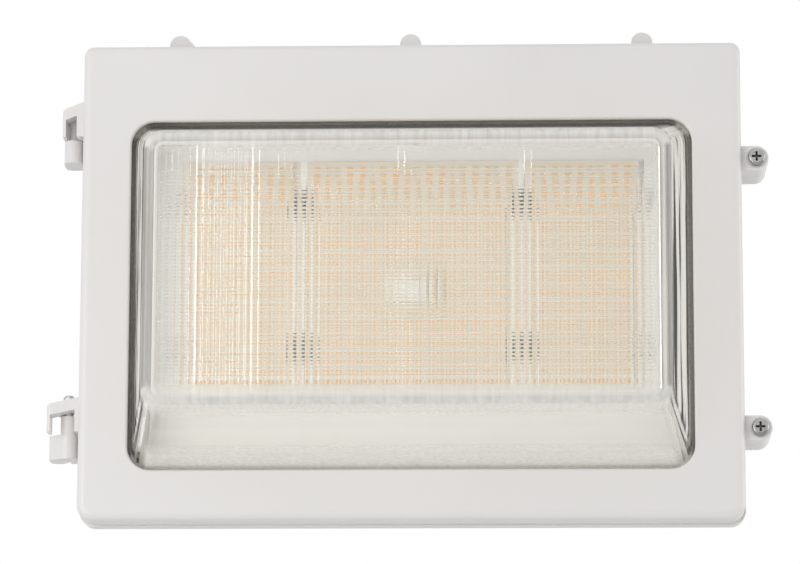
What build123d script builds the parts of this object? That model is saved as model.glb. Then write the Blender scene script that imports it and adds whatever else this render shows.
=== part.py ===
from build123d import *
import os

# Wall pack light, in millimetres.
# Frame: +X to the right as seen from the front, +Z up, the viewer in front at -Y.
# The origin is the centre of the wall hole pattern, on the housing's back face.
# A station is a distance in front of the wall, so the plane at station s lies at y = -s.

# ---------------------------------------------------------------- driving dimensions
# door frame
door_width = 332.0
door_height = 242.0
door_depth = 22.0
door_face = 3.2
door_skirt = 3.2
door_top_corner = 5.0
door_bottom_corner = 7.5
door_edge_round = 4.0
window_side_edge = 24.8
window_top_edge = 39.5
window_bottom_edge = 24.7
window_corner = 12.0
window_edge_round = 1.2

# housing
housing_depth = 98.0
housing_wall = 3.5
housing_back = 4.0
shell_inset = 8.0
back_draft_x = 15.0
back_draft_z = 17.0
shell_corner = 10.0
back_edge_round = 6.0
flange_proud = 0.8
flange_thickness = 9.0

# door seal
seal_gap = 0.4
groove_inset = 4.2
groove_width = 4.6
groove_depth = 3.5
gasket_side_gap = 0.3
gasket_height = 2.9
rib_thickness = 2.4
rib_reach = 0.7

# glass
glass_projection = 62.0
glass_wall = 4.5
glass_window_gap = 1.2
glass_flange_reach = 9.0
glass_flange_thickness = 5.0
glass_side_taper = 12.0
glass_top_taper = 18.3
glass_bottom_taper = 22.1
glass_face_corner = 9.0
glass_inner_corner = 5.0
glass_edge_round = 3.0
glass_gasket_thickness = 2.0
glass_gasket_inset = 1.0
seat_gap = 0.5
seat_rib = 2.0
seat_depth = 5.0

# hinges
axis_outboard = 6.5
axis_ahead = 4.0
pin_radius = 2.4
pin_fit = 0.05
pin_press_fit = 0.01
pin_seat_depth = 9.5
pin_head_radius = 2.9
pin_head_height = 2.4
pin_head_round = 2.0
pin_pad_edge = 0.5
ear_front = 12.0
ear_back_round = 4.9
ear_wall = 1.7
ear_wall_setback = 1.0
ear_root_setback = 3.9
ear_corner = 2.0
arm_thickness = 5.8
ear_gap = 0.3
upper_ear_top = 93.5
upper_ear_drop = 4.5
upper_ear_reach = 4.5
upper_pin_top = 88.4
lower_ear_top = -58.4
lower_ear_drop = 3.6
lower_ear_reach = 9.8
lower_pad_top = -58.6
knuckle_radius = 4.5
knuckle_side_radius = 2.5
knuckle_back = 15.0
knuckle_back_round = 3.8
upper_knuckle_top = 75.0
upper_knuckle_height = 11.5
upper_knuckle_reach = 4.9
lower_knuckle_top = -76.2
lower_knuckle_height = 12.2
lower_knuckle_reach = 9.8
lower_barrel_radius = 4.0

# door screws, their lugs and bosses
lug_outboard = 7.6
lug_radius = 6.3
lug_setback = 6.0
lug_edge_round = 1.0
upper_lug_z = 62.0
lower_lug_z = -75.2
boss_length = 17.0
boss_hole_depth = 14.0
boss_hole_gap = 0.35
screw_radius = 2.08
screw_head_radius = 4.25
screw_head_height = 3.0
screw_bite = 8.5
screw_fit = 0.1
washer_radius = 5.0
washer_thickness = 1.0
recess_span = 4.8
recess_width = 1.1
recess_depth = 1.6
head_round = 1.3

# bosses on top of the housing
top_boss_radius = 5.45
top_boss_rise = 5.2
top_boss_length = 18.0
top_boss_spacing = 118.0
top_boss_shift = -1.0
top_web_run = 12.0
top_web_shoulder = 3.8

# entries and wall holes
entry_radius = 10.2
entry_hub_radius = 15.0
back_hub_rise = 8.0
side_entry_station = 45.0
side_hub_setback = 4.0
side_hub_length = 14.0
plug_fit = 0.08
plug_length = 9.0
plug_head_radius = 13.0
plug_head_thickness = 2.5
plug_slot_width = 2.5
plug_slot_depth = 1.5
plug_seal_radius = 12.5
plug_seal_thickness = 1.5
wall_hole_spacing_x = 220.0
wall_hole_spacing_z = 120.0
wall_hole_radius = 3.25
box_hole_spacing = 88.9
box_hole_radius = 2.75

# plate, boards and LED packages
plate_side_gap = 6.5
plate_end_gap = 7.5
plate_corner = 6.0
plate_sheet = 2.0
plate_lip = 10.0
plate_setback = 3.0
plate_screw_side_inset = 27.0
plate_screw_top_inset = 26.0
plate_screw_bottom_inset = 16.0
post_radius = 5.0
post_rib_width = 3.0
post_rib_length = 40.0
board_height = 118.0
board_thickness = 1.6
board_rise = 5.8
centre_board_width = 107.0
side_board_width = 57.0
board_gap = 4.6
led_width = 3.5
led_height = 2.8
led_thickness = 0.8
led_rows = 14
led_row_pitch = 8.4
centre_led_columns = 13
centre_led_pitch = 8.0
side_led_columns = 7
side_led_pitch = 7.6
board_screw_rise = 37.0
board_screw_edge = 2.3

# cover over the lead's hole in the centre board
cover_width = 19.0
cover_height = 17.0
cover_depth = 5.0
cover_wall = 1.2
cover_corner = 2.0
cover_z = -1.6
lead_hole_radius = 4.5

# small screws of the inside
small_screw_radius = 1.5
small_hole_radius = 1.6
small_head_radius = 3.0
small_head_height = 2.0
small_head_round = 0.9
small_recess_span = 3.2
small_recess_width = 0.8
small_recess_depth = 1.0
small_screw_bite = 6.0
small_hole_depth = 7.0

# driver and wiring
driver_width = 150.0
driver_height = 46.0
driver_depth = 30.0
driver_corner = 3.0
driver_z = -57.0
driver_ear = 12.0
driver_ear_height = 24.0
driver_ear_sheet = 2.0
driver_boss_height = 6.0
seat_boss_radius = 4.5
block_width = 30.0
block_height = 18.0
block_depth = 16.0
block_x = 91.0
block_z = 36.0
block_boss_height = 10.0
block_screw_pitch = 22.0
block_well = 2.0
block_well_depth = 6.0
supply_lead_radius = 1.2
supply_lead_pitch = 6.0
supply_lead_station = 24.0
supply_lead_bend = 6.0
lead_hole_gap = 0.05
lead_entry = 3.0
led_lead_radius = 2.5
led_lead_side = 23.0
led_lead_station = 25.0
led_lead_run_station = 60.0
led_lead_bend = 12.0
ground_x = 58.0
ground_z = 40.0
ground_boss_height = 5.0

# glass clips
clip_width = 12.0
clip_sheet = 1.5
clip_corner = 1.5
clip_grip = 3.0
clip_boss_radius = 3.6
clip_boss_offset = 4.6
clip_spread = 140.0
clip_screw_radius = 1.9
clip_hole_gap = 0.05
clip_screw_bite = 5.5
clip_hole_depth = 6.0

# ---------------------------------------------------------------- stations and places
door_back = housing_depth + seal_gap
door_front = door_back + door_depth
face_inside = door_front - door_face
glass_flange_front = face_inside - glass_gasket_thickness
glass_flange_back = glass_flange_front - glass_flange_thickness
glass_front = door_front + glass_projection
lug_front = door_front - lug_setback
screw_seat = lug_front + washer_thickness

shell_width = door_width - 2 * shell_inset
shell_height = door_height - 2 * shell_inset
back_width = shell_width - 2 * back_draft_x
back_height = shell_height - 2 * back_draft_z
side_hub_out = shell_width / 2 - side_hub_setback
side_hub_in = side_hub_out - side_hub_length
flange_width = door_width + 2 * flange_proud
flange_height = door_height + 2 * flange_proud
groove_middle = groove_inset + groove_width / 2
door_edge = -door_width / 2

window_width = door_width - 2 * window_side_edge
window_height = door_height - window_top_edge - window_bottom_edge
window_drop = (window_top_edge - window_bottom_edge) / 2

glass_root_width = window_width - 2 * glass_window_gap
glass_root_height = window_height - 2 * glass_window_gap
glass_root_corner = window_corner - glass_window_gap
glass_flange_width = glass_root_width + 2 * glass_flange_reach
glass_flange_height = glass_root_height + 2 * glass_flange_reach
glass_flange_corner = glass_root_corner + glass_flange_reach
glass_face_width = glass_root_width - 2 * glass_side_taper
glass_face_height = glass_root_height - glass_top_taper - glass_bottom_taper
glass_face_z = (glass_bottom_taper - glass_top_taper) / 2 - window_drop

axis_x = door_edge - axis_outboard
axis_y = -(door_back + axis_ahead)
lower_ear_slope = lower_ear_drop / (axis_outboard + lower_ear_reach)
lower_barrel_left = axis_outboard + lower_barrel_radius
lower_barrel_top = lower_ear_top - lower_ear_slope * lower_barrel_left - arm_thickness - ear_gap
lug_x = door_width / 2 + lug_outboard
lug_places = [(lug_x, upper_lug_z), (lug_x, lower_lug_z)]

boss_z = door_height / 2 + top_boss_rise
top_boss_places = [
    (top_boss_shift - top_boss_spacing, boss_z),
    (top_boss_shift, boss_z),
    (top_boss_shift + top_boss_spacing, boss_z),
]

plate_front = housing_depth - plate_setback
plate_back = plate_front - plate_sheet
plate_width = shell_width - 2 * (housing_wall + plate_side_gap)
plate_height = shell_height - 2 * (housing_wall + plate_end_gap)
plate_screw_x = plate_width / 2 - plate_screw_side_inset
plate_screw_top = plate_height / 2 - plate_screw_top_inset
plate_screw_bottom = plate_screw_bottom_inset - plate_height / 2
board_front = plate_front + board_thickness
side_board_x = centre_board_width / 2 + board_gap + side_board_width / 2
strip_x = centre_board_width / 2 + board_screw_edge
outer_strip_x = side_board_x + side_board_width / 2 + board_screw_edge
board_screw_places = [
    (x, board_rise + side * board_screw_rise)
    for x in (-outer_strip_x, -strip_x, strip_x, outer_strip_x)
    for side in (-1, 1)
]
plate_screw_places = [
    (x, z)
    for x in (-plate_screw_x, 0, plate_screw_x)
    for z in (plate_screw_bottom, plate_screw_top)
]

driver_back = housing_back + driver_boss_height
driver_screw_x = driver_width / 2 + driver_ear / 2
driver_screw_places = [(-driver_screw_x, driver_z), (driver_screw_x, driver_z)]
block_back = housing_back + block_boss_height
block_front = block_back + block_depth
block_bottom = block_z - block_height / 2
block_screw_places = [
    (block_x - block_screw_pitch / 2, block_z),
    (block_x + block_screw_pitch / 2, block_z),
]
supply_lead_offsets = [-supply_lead_pitch, 0, supply_lead_pitch]
ground_front = housing_back + ground_boss_height

clip_top_z = glass_flange_height / 2 - window_drop + clip_boss_offset
clip_bottom_z = -glass_flange_height / 2 - window_drop - clip_boss_offset
clip_side_x = glass_flange_width / 2 + clip_boss_offset
clip_places = [
    (-clip_spread / 2, clip_top_z, 180),
    (clip_spread / 2, clip_top_z, 180),
    (-clip_spread / 2, clip_bottom_z, 0),
    (clip_spread / 2, clip_bottom_z, 0),
    (-clip_side_x, -window_drop, -90),
    (clip_side_x, -window_drop, 90),
]


def front_plane(station):
    """Plane parallel to the wall, seen from the front: local x is +X, local y is +Z."""
    return Plane.XZ.offset(station)


def side_plane(side, distance):
    """Plane facing outwards at the left (-1) or right (1), centred on the side entry."""
    return Plane(origin=(side * distance, -side_entry_station, 0), z_dir=(side, 0, 0))


def led_grid(columns, column_pitch):
    """Centres of a board's LED packages, relative to the board's centre."""
    return [
        ((column - (columns - 1) / 2) * column_pitch, (row - (led_rows - 1) / 2) * led_row_pitch)
        for column in range(columns)
        for row in range(led_rows)
    ]


def is_clear_of_cover(place):
    """True where an LED package of the centre board stands clear of the lead's cover."""
    clear_x = abs(place[0]) > (cover_width + led_width) / 2
    clear_z = abs(place[1] + board_rise - cover_z) > (cover_height + led_height) / 2
    return clear_x or clear_z


def pan_screws(seat, places, length, radius, head_radius, head_height, head_edge, recess):
    """Cross-recessed screws with their heads in front of the seat plane and their shanks behind it."""
    span, width, depth = recess
    with BuildPart() as screws:
        with BuildSketch(seat):
            with Locations(*places):
                Circle(radius)
        extrude(amount=-length)
        with BuildSketch(seat):
            with Locations(*places):
                Circle(head_radius)
        extrude(amount=head_height)
        crowns = screws.faces().sort_by(Axis(seat.origin, seat.z_dir))[-len(places):]
        fillet(crowns.edges(), head_edge)
        with BuildSketch(seat.offset(head_height)):
            with Locations(*places):
                Rectangle(span, width)
                Rectangle(width, span)
        extrude(amount=-depth, mode=Mode.SUBTRACT)
    return screws


def small_screws(seat, places, length, radius=small_screw_radius):
    """The pan-head screws of the inside."""
    head = (small_head_radius, small_head_height, small_head_round)
    recess = (small_recess_span, small_recess_width, small_recess_depth)
    return pan_screws(seat, places, length, radius, *head, recess)


def hinge_ear(top, drop, reach, barrel_radius, wall_bottom, hole_top, pad_top):
    """Hooked ear of the door: a sloping arm with an outer wall and a gusset that hang beside the pin."""
    outer = axis_x - reach
    gusset = axis_x + barrel_radius + ear_gap
    root = door_edge + door_skirt / 2
    slope = drop / (axis_outboard + reach)
    root_top = top + slope * door_skirt / 2
    outer_top = top - drop
    with BuildPart() as ear:
        # outline seen from the front
        with BuildSketch(front_plane(-axis_y - ear_back_round)) as front_view:
            with BuildLine():
                Polyline(
                    (root, root_top),
                    (outer, outer_top),
                    (outer, wall_bottom),
                    (outer + ear_wall, wall_bottom),
                    (outer + ear_wall, outer_top + slope * ear_wall - arm_thickness),
                    (gusset, root_top - slope * (root - gusset) - arm_thickness),
                    (gusset, wall_bottom),
                    (root, wall_bottom),
                    close=True,
                )
            make_face()
            outer_corner = front_view.vertices().group_by(Axis.X)[0].sort_by(Axis.Y)[-1]
            fillet(outer_corner, ear_corner)
        extrude(amount=ear_front + ear_back_round)
        # outline seen from above
        with BuildSketch(Plane.XY.offset(wall_bottom)) as plan:
            with Locations((outer, axis_y - ear_front)):
                Rectangle(root - outer, ear_front - ear_wall_setback, align=(Align.MIN, Align.MIN))
            with Locations((axis_x, axis_y - ear_wall_setback)):
                Rectangle(root - axis_x, ear_root_setback + ear_wall_setback, align=(Align.MIN, Align.MIN))
            front_corner = plan.vertices().group_by(Axis.X)[0].sort_by(Axis.Y)[0]
            fillet(front_corner, ear_corner)
            with Locations((axis_x, axis_y)):
                Circle(ear_back_round)
        extrude(amount=root_top - wall_bottom, mode=Mode.INTERSECT)
        # round pad under the pin's head
        if pad_top is not None:
            with BuildSketch(Plane.XY.offset(pad_top)):
                with Locations((axis_x, axis_y)):
                    Circle(pin_head_radius + pin_pad_edge)
            extrude(amount=-arm_thickness)
        # running hole of the pin
        with BuildSketch(Plane.XY.offset(wall_bottom)):
            with Locations((axis_x, axis_y)):
                Circle(pin_radius + pin_fit)
        extrude(amount=hole_top - wall_bottom, mode=Mode.SUBTRACT)
    return ear.part


centre_led_places = [
    place for place in led_grid(centre_led_columns, centre_led_pitch) if is_clear_of_cover(place)
]
side_led_places = led_grid(side_led_columns, side_led_pitch)
os.makedirs("parts", exist_ok=True)

# ---------------------------------------------------------------- housing
with BuildPart() as housing:
    with BuildSketch(front_plane(0)):
        RectangleRounded(back_width, back_height, shell_corner)
    with BuildSketch(front_plane(housing_depth)):
        RectangleRounded(shell_width, shell_height, shell_corner)
    loft()
    fillet(housing.faces().sort_by(Axis.Y)[-1].edges(), back_edge_round)

    # flange that the door closes on
    with BuildSketch(front_plane(housing_depth)):
        RectangleRounded(flange_width, flange_height, door_bottom_corner)
    extrude(amount=-flange_thickness)

    # round bosses on top, each on a web; the left one's web slopes down to the flange
    with BuildSketch(front_plane(housing_depth)):
        with Locations(*top_boss_places):
            Circle(top_boss_radius)
            Rectangle(2 * top_boss_radius, top_boss_rise + 2 * shell_inset, align=(Align.CENTER, Align.MAX))
        left_boss_x = top_boss_places[0][0]
        with BuildLine():
            Polyline(
                (left_boss_x + top_web_shoulder, boss_z + top_web_shoulder),
                (left_boss_x + top_web_run, door_height / 2),
                (left_boss_x, door_height / 2),
                close=True,
            )
        make_face()
    extrude(amount=-top_boss_length)

    # bosses behind the door's lugs
    with BuildSketch(front_plane(housing_depth)):
        with Locations(*lug_places):
            Circle(lug_radius)
            Rectangle(lug_outboard + 2 * shell_inset, 2 * lug_radius, align=(Align.MAX, Align.CENTER))
    extrude(amount=-boss_length)

    # hinge knuckles beside the door's left edge
    for knuckle_top, knuckle_height, knuckle_reach in (
        (upper_knuckle_top, upper_knuckle_height, upper_knuckle_reach),
        (lower_knuckle_top, lower_knuckle_height, lower_knuckle_reach),
    ):
        knuckle_left = axis_x - knuckle_reach
        with BuildSketch(Plane.XY.offset(knuckle_top - knuckle_height)):
            with Locations((axis_x, axis_y)):
                Circle(knuckle_radius)
            with Locations((knuckle_left + knuckle_side_radius, axis_y + knuckle_side_radius)):
                Circle(knuckle_side_radius)
            with Locations((knuckle_left + knuckle_back_round, axis_y + knuckle_back - knuckle_back_round)):
                Circle(knuckle_back_round)
            make_hull()
            with Locations((axis_x, -housing_depth)):
                Rectangle(
                    axis_outboard + 1.5 * shell_inset,
                    axis_y + knuckle_back + housing_depth,
                    align=(Align.MIN, Align.MIN),
                )
        extrude(amount=knuckle_height)
    with BuildSketch(Plane.XY.offset(lower_knuckle_top)):
        with Locations((axis_x, axis_y)):
            Circle(lower_barrel_radius)
    extrude(amount=lower_barrel_top - lower_knuckle_top)

    # cavity, drafted like the outside
    with BuildSketch(front_plane(housing_back)):
        RectangleRounded(
            back_width - 2 * housing_wall,
            back_height - 2 * housing_wall,
            shell_corner - housing_wall,
        )
    with BuildSketch(front_plane(housing_depth)):
        RectangleRounded(
            shell_width - 2 * housing_wall,
            shell_height - 2 * housing_wall,
            shell_corner - housing_wall,
        )
    loft(mode=Mode.SUBTRACT)

    # hubs of the side entries and of the back entry
    for side in (-1, 1):
        with BuildSketch(side_plane(side, side_hub_in)):
            Circle(entry_hub_radius)
        extrude(amount=side_hub_out - side_hub_in)
    with BuildSketch(front_plane(0)):
        Circle(entry_hub_radius)
    extrude(amount=housing_back + back_hub_rise)
    for side in (-1, 1):
        with BuildSketch(side_plane(side, side_hub_out)):
            Circle(entry_radius)
        extrude(amount=side_hub_in - side_hub_out, mode=Mode.SUBTRACT)

    # posts under the plate, each with a rib towards its wall
    with BuildSketch(front_plane(housing_back / 2)):
        with Locations(*plate_screw_places):
            Circle(post_radius)
    extrude(amount=plate_back - housing_back / 2)
    rib_end = back_height / 2 - housing_wall
    with BuildSketch(front_plane(housing_back / 2)):
        for post_x, post_z in plate_screw_places:
            outward = 1 if post_z > 0 else -1
            with Locations((post_x, (post_z + outward * rib_end) / 2)):
                Rectangle(post_rib_width, rib_end - abs(post_z))
    extrude(amount=post_rib_length)

    # raised seats of the driver, the terminal block and the ground screw
    for seat_places, seat_front in (
        (driver_screw_places, driver_back),
        (block_screw_places, block_back),
        ([(ground_x, ground_z)], ground_front),
    ):
        with BuildSketch(front_plane(housing_back / 2)):
            with Locations(*seat_places):
                Circle(seat_boss_radius)
        extrude(amount=seat_front - housing_back / 2)

    # screw holes of the posts and seats
    for seat_places, seat_front in (
        (plate_screw_places, plate_back),
        (driver_screw_places, driver_back),
        (block_screw_places, block_back),
        ([(ground_x, ground_z)], ground_front),
    ):
        with BuildSketch(front_plane(seat_front)):
            with Locations(*seat_places):
                Circle(small_hole_radius)
        extrude(amount=-small_hole_depth, mode=Mode.SUBTRACT)

    # entry and holes through the back wall
    with BuildSketch(front_plane(0)):
        Circle(entry_radius)
        with GridLocations(wall_hole_spacing_x, wall_hole_spacing_z, 2, 2):
            Circle(wall_hole_radius)
        with GridLocations(box_hole_spacing, 0, 2, 1):
            Circle(box_hole_radius)
    extrude(amount=housing_back + back_hub_rise, mode=Mode.SUBTRACT)

    # groove of the door seal
    with BuildSketch(front_plane(housing_depth)):
        RectangleRounded(door_width - 2 * groove_inset, door_height - 2 * groove_inset, door_bottom_corner)
        RectangleRounded(
            door_width - 2 * (groove_inset + groove_width),
            door_height - 2 * (groove_inset + groove_width),
            door_bottom_corner - groove_width / 2,
            mode=Mode.SUBTRACT,
        )
    extrude(amount=-groove_depth, mode=Mode.SUBTRACT)

    # holes for the door screws and the hinge pins
    with BuildSketch(front_plane(housing_depth)):
        with Locations(*lug_places):
            Circle(screw_radius + boss_hole_gap)
    extrude(amount=-boss_hole_depth, mode=Mode.SUBTRACT)
    for hole_top, knuckle_top in (
        (upper_knuckle_top, upper_knuckle_top),
        (lower_barrel_top, lower_knuckle_top),
    ):
        with BuildSketch(Plane.XY.offset(hole_top)):
            with Locations((axis_x, axis_y)):
                Circle(pin_radius + pin_press_fit)
        extrude(amount=knuckle_top - pin_seat_depth - hole_top, mode=Mode.SUBTRACT)
housing.part.label = "housing"
export_step(housing.part, "parts/housing.step")

# ---------------------------------------------------------------- door seal
with BuildPart() as door_gasket:
    seal_outside = groove_inset + gasket_side_gap
    seal_inside = groove_inset + groove_width - gasket_side_gap
    with BuildSketch(front_plane(housing_depth - groove_depth)):
        RectangleRounded(
            door_width - 2 * seal_outside,
            door_height - 2 * seal_outside,
            door_bottom_corner - gasket_side_gap,
        )
        RectangleRounded(
            door_width - 2 * seal_inside,
            door_height - 2 * seal_inside,
            door_bottom_corner - groove_width / 2 + gasket_side_gap,
            mode=Mode.SUBTRACT,
        )
    extrude(amount=gasket_height)
door_gasket.part.label = "door_gasket"
export_step(door_gasket.part, "parts/door_gasket.step")

# ---------------------------------------------------------------- hinge pins
with BuildPart() as hinge_pin_upper:
    pin_foot = upper_knuckle_top - pin_seat_depth
    with BuildSketch(Plane.XY.offset(pin_foot)):
        with Locations((axis_x, axis_y)):
            Circle(pin_radius)
    extrude(amount=upper_pin_top - pin_foot)
    chamfer(hinge_pin_upper.faces().sort_by(Axis.Z)[-1].edges(), pin_head_round / 4)
hinge_pin_upper.part.label = "hinge_pin_upper"
export_step(hinge_pin_upper.part, "parts/hinge_pin_upper.step")

with BuildPart() as hinge_pin_lower:
    pin_foot = lower_knuckle_top - pin_seat_depth
    head_seat = lower_pad_top + ear_gap
    with BuildSketch(Plane.XY.offset(pin_foot)):
        with Locations((axis_x, axis_y)):
            Circle(pin_radius)
    extrude(amount=head_seat - pin_foot)
    with BuildSketch(Plane.XY.offset(head_seat)):
        with Locations((axis_x, axis_y)):
            Circle(pin_head_radius)
    extrude(amount=pin_head_height)
    fillet(hinge_pin_lower.faces().sort_by(Axis.Z)[-1].edges(), pin_head_round)
hinge_pin_lower.part.label = "hinge_pin_lower"
export_step(hinge_pin_lower.part, "parts/hinge_pin_lower.step")

# ---------------------------------------------------------------- door frame
upper_ear = hinge_ear(
    upper_ear_top,
    upper_ear_drop,
    upper_ear_reach,
    pin_radius,
    upper_knuckle_top + ear_gap,
    upper_pin_top + ear_gap,
    None,
)
lower_ear = hinge_ear(
    lower_ear_top,
    lower_ear_drop,
    lower_ear_reach,
    lower_barrel_radius,
    lower_knuckle_top + ear_gap,
    lower_ear_top,
    lower_pad_top,
)

with BuildPart() as door_frame:
    with BuildSketch(front_plane(door_back)) as door_outline:
        Rectangle(door_width, door_height)
        fillet(door_outline.vertices().group_by(Axis.Y)[-1], door_top_corner)
        fillet(door_outline.vertices().group_by(Axis.Y)[0], door_bottom_corner)
    extrude(amount=door_depth)
    fillet(door_frame.faces().sort_by(Axis.Y)[0].edges(), door_edge_round)

    # screw lugs on the right edge
    with BuildSketch(front_plane(door_back)):
        with Locations(*lug_places):
            Circle(lug_radius)
            Rectangle(lug_outboard + door_skirt / 2, 2 * lug_radius, align=(Align.MAX, Align.CENTER))
    extrude(amount=lug_front - door_back)
    lug_rims = door_frame.edges().filter_by(GeomType.CIRCLE).filter_by(
        lambda edge: abs(edge.radius - lug_radius) < 0.01 and abs(edge.center().Y + lug_front) < 0.01
    )
    fillet(lug_rims, lug_edge_round)

    # hollow behind the face
    with BuildSketch(front_plane(door_back)) as hollow:
        Rectangle(door_width - 2 * door_skirt, door_height - 2 * door_skirt)
        fillet(hollow.vertices().group_by(Axis.Y)[-1], door_top_corner - door_skirt)
        fillet(hollow.vertices().group_by(Axis.Y)[0], door_bottom_corner - door_skirt)
    extrude(amount=door_depth - door_face, mode=Mode.SUBTRACT)

    # rib that presses on the door seal
    with BuildSketch(front_plane(face_inside)):
        RectangleRounded(
            door_width - 2 * groove_middle + rib_thickness,
            door_height - 2 * groove_middle + rib_thickness,
            door_bottom_corner - rib_thickness,
        )
        RectangleRounded(
            door_width - 2 * groove_middle - rib_thickness,
            door_height - 2 * groove_middle - rib_thickness,
            door_bottom_corner - 2 * rib_thickness,
            mode=Mode.SUBTRACT,
        )
    extrude(amount=door_back - rib_reach - face_inside)

    # rib round the glass's flange and bosses of its clips
    with BuildSketch(front_plane(face_inside)):
        with Locations((0, -window_drop)):
            seat_outside = seat_gap + seat_rib
            RectangleRounded(
                glass_flange_width + 2 * seat_outside,
                glass_flange_height + 2 * seat_outside,
                glass_flange_corner + seat_outside,
            )
            RectangleRounded(
                glass_flange_width + 2 * seat_gap,
                glass_flange_height + 2 * seat_gap,
                glass_flange_corner + seat_gap,
                mode=Mode.SUBTRACT,
            )
    extrude(amount=-seat_depth)
    with BuildSketch(front_plane(face_inside)):
        for clip_x, clip_z, clip_turn in clip_places:
            with Locations((clip_x, clip_z)):
                Circle(clip_boss_radius)
    extrude(amount=glass_flange_back - face_inside)
    with BuildSketch(front_plane(glass_flange_back)):
        for clip_x, clip_z, clip_turn in clip_places:
            with Locations((clip_x, clip_z)):
                Circle(clip_screw_radius + clip_hole_gap)
    extrude(amount=clip_hole_depth, mode=Mode.SUBTRACT)

    # window
    with BuildSketch(front_plane(door_front)):
        with Locations((0, -window_drop)):
            RectangleRounded(window_width, window_height, window_corner)
    extrude(amount=-door_face, mode=Mode.SUBTRACT)
    window_rim = door_frame.faces().sort_by(Axis.Y)[0].inner_wires()[0].edges()
    fillet(window_rim, window_edge_round)

    # hinge ears and the lugs' screw holes
    add(upper_ear)
    add(lower_ear)
    with BuildSketch(front_plane(door_back)):
        with Locations(*lug_places):
            Circle(screw_radius + screw_fit)
    extrude(amount=lug_front - door_back, mode=Mode.SUBTRACT)
door_frame.part.label = "door_frame"
export_step(door_frame.part, "parts/door_frame.step")

# ---------------------------------------------------------------- glass, its seal and clips
with BuildPart() as glass_refractor:
    with BuildSketch(front_plane(glass_flange_front)):
        with Locations((0, -window_drop)):
            RectangleRounded(glass_root_width, glass_root_height, glass_root_corner)
    with BuildSketch(front_plane(glass_front)):
        with Locations((0, glass_face_z)):
            RectangleRounded(glass_face_width, glass_face_height, glass_face_corner)
    loft()
    fillet(glass_refractor.faces().sort_by(Axis.Y)[0].edges(), glass_edge_round)
    with BuildSketch(front_plane(glass_flange_back)):
        with Locations((0, -window_drop)):
            RectangleRounded(glass_flange_width, glass_flange_height, glass_flange_corner)
    extrude(amount=glass_flange_thickness)
    with BuildSketch(front_plane(glass_flange_back)):
        with Locations((0, -window_drop)):
            RectangleRounded(
                glass_root_width - 2 * glass_wall,
                glass_root_height - 2 * glass_wall,
                glass_root_corner - glass_wall,
            )
    with BuildSketch(front_plane(glass_front - glass_wall)):
        with Locations((0, glass_face_z)):
            RectangleRounded(
                glass_face_width - 2 * glass_wall, glass_face_height - 2 * glass_wall, glass_inner_corner
            )
    loft(mode=Mode.SUBTRACT)
glass_refractor.part.label = "glass_refractor"
export_step(glass_refractor.part, "parts/glass_refractor.step")

with BuildPart() as glass_gasket:
    with BuildSketch(front_plane(glass_flange_front)):
        with Locations((0, -window_drop)):
            RectangleRounded(
                glass_flange_width - 2 * glass_gasket_inset,
                glass_flange_height - 2 * glass_gasket_inset,
                glass_flange_corner - glass_gasket_inset,
            )
            RectangleRounded(
                window_width + 2 * glass_gasket_inset,
                window_height + 2 * glass_gasket_inset,
                window_corner + glass_gasket_inset,
                mode=Mode.SUBTRACT,
            )
    extrude(amount=glass_gasket_thickness)
glass_gasket.part.label = "glass_gasket"
export_step(glass_gasket.part, "parts/glass_gasket.step")

with BuildPart() as glass_clips:
    with BuildSketch(front_plane(glass_flange_back)):
        for clip_x, clip_z, clip_turn in clip_places:
            with Locations(Location((clip_x, clip_z), clip_turn)):
                clip_length = clip_boss_radius + clip_boss_offset + clip_grip
                with Locations((0, clip_length / 2 - clip_boss_radius)):
                    RectangleRounded(clip_width, clip_length, clip_corner)
                Circle(clip_screw_radius + clip_hole_gap, mode=Mode.SUBTRACT)
    extrude(amount=-clip_sheet)
glass_clips.part.label = "glass_clips"
export_step(glass_clips.part, "parts/glass_clips.step")

clip_seat = Plane(origin=(0, clip_sheet - glass_flange_back, 0), x_dir=(-1, 0, 0), z_dir=(0, 1, 0))
clip_centres = [(-clip_x, clip_z) for clip_x, clip_z, clip_turn in clip_places]
clip_screws = small_screws(clip_seat, clip_centres, clip_sheet + clip_screw_bite, clip_screw_radius)
clip_screws.part.label = "clip_screws"
export_step(clip_screws.part, "parts/clip_screws.step")

# ---------------------------------------------------------------- door screws
for screw_name, lug_place in (("upper_screw", lug_places[0]), ("lower_screw", lug_places[1])):
    door_screw = pan_screws(
        front_plane(screw_seat),
        [lug_place],
        screw_seat - housing_depth + screw_bite,
        screw_radius,
        screw_head_radius,
        screw_head_height,
        head_round,
        (recess_span, recess_width, recess_depth),
    )
    door_screw.part.label = screw_name
    export_step(door_screw.part, f"parts/{screw_name}.step")
    with BuildPart() as door_washer:
        with BuildSketch(front_plane(lug_front)):
            with Locations(lug_place):
                Circle(washer_radius)
                Circle(screw_radius + screw_fit, mode=Mode.SUBTRACT)
        extrude(amount=washer_thickness)
    door_washer.part.label = f"{screw_name}_washer"
    export_step(door_washer.part, f"parts/{screw_name}_washer.step")

# ---------------------------------------------------------------- plate and boards
with BuildPart() as led_plate:
    with BuildSketch(front_plane(plate_front)):
        RectangleRounded(plate_width, plate_height, plate_corner)
    extrude(amount=-(plate_sheet + plate_lip))
    with BuildSketch(front_plane(plate_back)):
        RectangleRounded(
            plate_width - 2 * plate_sheet,
            plate_height - 2 * plate_sheet,
            plate_corner - plate_sheet,
        )
    extrude(amount=-plate_lip, mode=Mode.SUBTRACT)
    with BuildSketch(front_plane(plate_front)):
        with Locations((0, cover_z)):
            Circle(lead_hole_radius)
        with Locations(*board_screw_places, *plate_screw_places):
            Circle(small_hole_radius)
    extrude(amount=-plate_sheet, mode=Mode.SUBTRACT)
led_plate.part.label = "led_plate"
export_step(led_plate.part, "parts/led_plate.step")

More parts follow.
